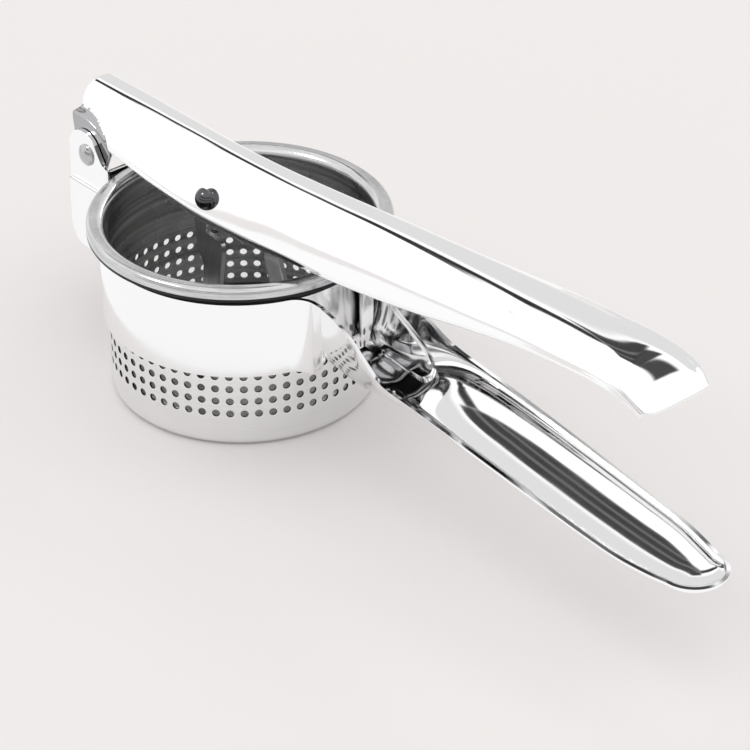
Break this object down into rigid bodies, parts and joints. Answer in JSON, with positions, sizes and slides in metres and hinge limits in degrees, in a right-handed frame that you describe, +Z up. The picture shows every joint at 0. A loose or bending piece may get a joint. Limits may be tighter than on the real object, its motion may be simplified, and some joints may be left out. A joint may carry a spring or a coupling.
{
  "type": "potato ricer",
  "caption": "Hand potato ricer: perforated cup in a strap ring, channel lower handle, arched lever on a rivet pivot pushing a U yoke and round press plate into the cup",
  "frame": {"origin": "centre of the underside of the cup's base, on the surface it stands on", "axes": "+X runs from the cup towards the free ends of both handles, +Z is up along the cup's axis, +Y completes a right-handed frame"},
  "size_m": [0.2665, 0.092, 0.0863],
  "materials": {
    "cup_steel": "stainless steel, polished outside and turned bright inside with fine circular lines",
    "handle_steel": "stainless steel polished to a mirror",
    "rivet_steel": "polished round rivet heads",
    "plunger_steel": "stainless steel, satin"
  },
  "bodies": {
    "frame": {"strap_near": "handle_steel", "strap_far": "handle_steel", "hinge_bracket": "handle_steel", "pivot_pin": "rivet_steel", "lower_handle": "handle_steel"},
    "cup": {"basket": "cup_steel"},
    "lever": {"upper_handle": "handle_steel", "plunger_pin": "rivet_steel"},
    "plunger": {"plunger_yoke": "plunger_steel", "press_plate": "plunger_steel"}
  },
  "joints": [
    {"name": "lever_hinge", "type": "hinge", "parent": "frame", "child": "lever", "pos_m": [-0.0578, 0, 0.0579], "axis": [0, -1, 0], "range_deg": [-2.5, 35]},
    {"name": "plunger_hinge", "type": "hinge", "parent": "lever", "child": "plunger", "pos_m": [-0.0019, 0, 0.0649], "axis": [0, -1, 0], "range_deg": [-22.8, 1.7]},
    {"name": "cup_turn", "type": "hinge", "parent": "frame", "child": "cup", "pos_m": [0, 0, 0.04], "axis": [0, 0, 1], "continuous": true}
  ],
  "couplings": [
    {"joint": "plunger_hinge", "follows": "lever_hinge", "ratio": -0.65}
  ]
}
